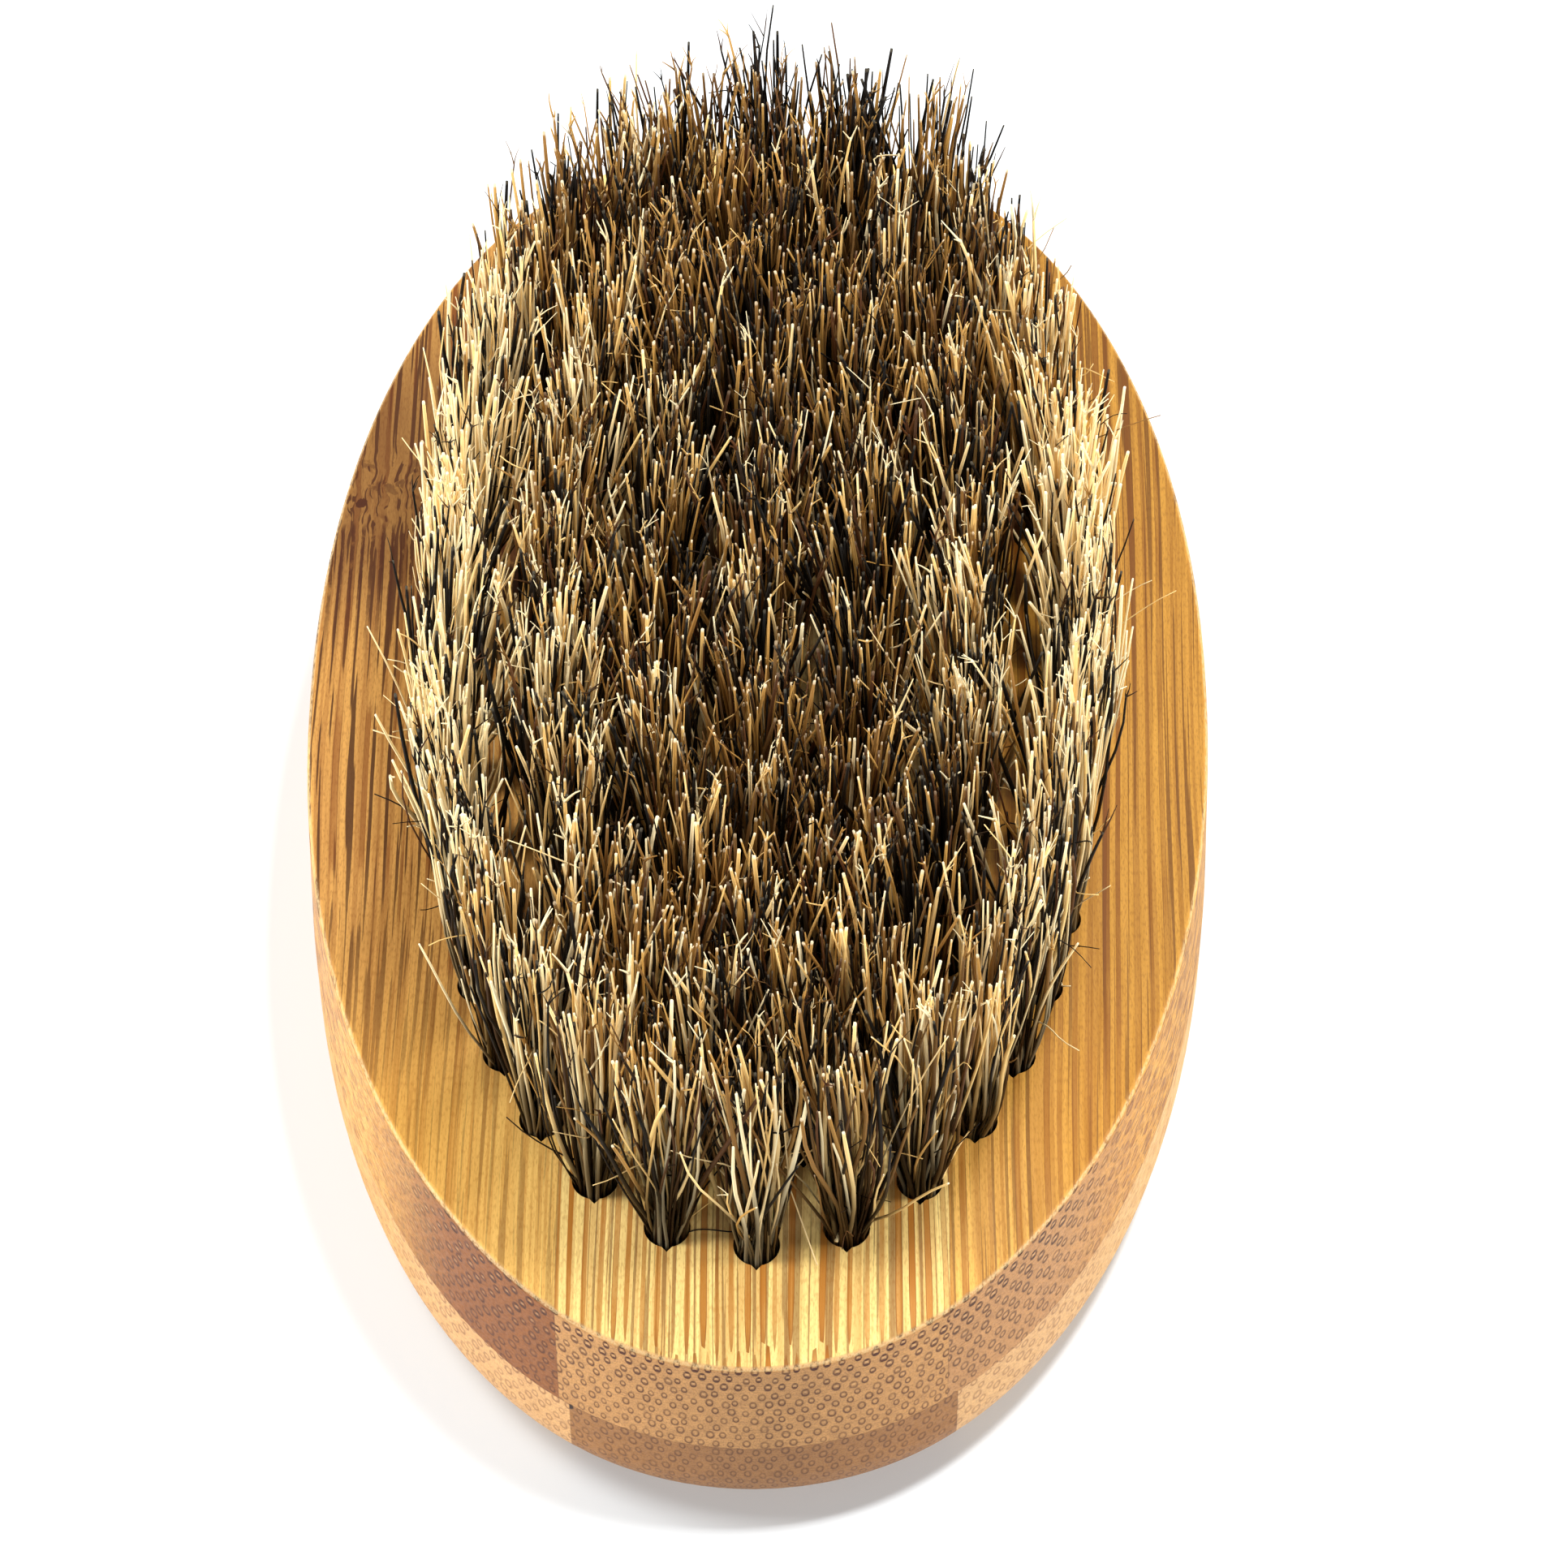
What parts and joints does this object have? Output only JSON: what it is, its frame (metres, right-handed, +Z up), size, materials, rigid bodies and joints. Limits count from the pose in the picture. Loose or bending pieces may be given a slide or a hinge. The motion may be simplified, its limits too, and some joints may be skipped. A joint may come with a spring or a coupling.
{
  "type": "beard brush",
  "caption": "Oval palm-held beard brush: a laminated bamboo block with rings of natural bristle tufts anchored in drilled holes.",
  "frame": {"origin": "middle of the flat underside, where the brush rests with its bristles up", "axes": "+Z up out of the bristle tips, +Y along the length of the oval, +X across its width"},
  "size_m": [0.0648, 0.1158, 0.0398],
  "materials": {
    "bamboo": "satin",
    "boar_bristle": "matte",
    "anchor_metal": "satin"
  },
  "bodies": {
    "root": {"inner_ring_left_anchors": "anchor_metal", "inner_ring_left_tufts": "boar_bristle", "inner_ring_right_anchors": "anchor_metal", "inner_ring_right_tufts": "boar_bristle", "lower_centre_strip": "bamboo", "lower_left_strip": "bamboo", "lower_right_strip": "bamboo", "middle_ring_left_anchors": "anchor_metal", "middle_ring_left_tufts": "boar_bristle", "middle_ring_right_anchors": "anchor_metal", "middle_ring_right_tufts": "boar_bristle", "middle_row_anchors": "anchor_metal", "middle_row_tufts": "boar_bristle", "outer_ring_front_left_anchors": "anchor_metal", "outer_ring_front_left_tufts": "boar_bristle", "outer_ring_front_right_anchors": "anchor_metal", "outer_ring_front_right_tufts": "boar_bristle", "outer_ring_rear_left_anchors": "anchor_metal", "outer_ring_rear_left_tufts": "boar_bristle", "outer_ring_rear_right_anchors": "anchor_metal", "outer_ring_rear_right_tufts": "boar_bristle", "upper_centre_strip": "bamboo", "upper_left_strip": "bamboo", "upper_right_strip": "bamboo"}
  },
  "joints": []
}
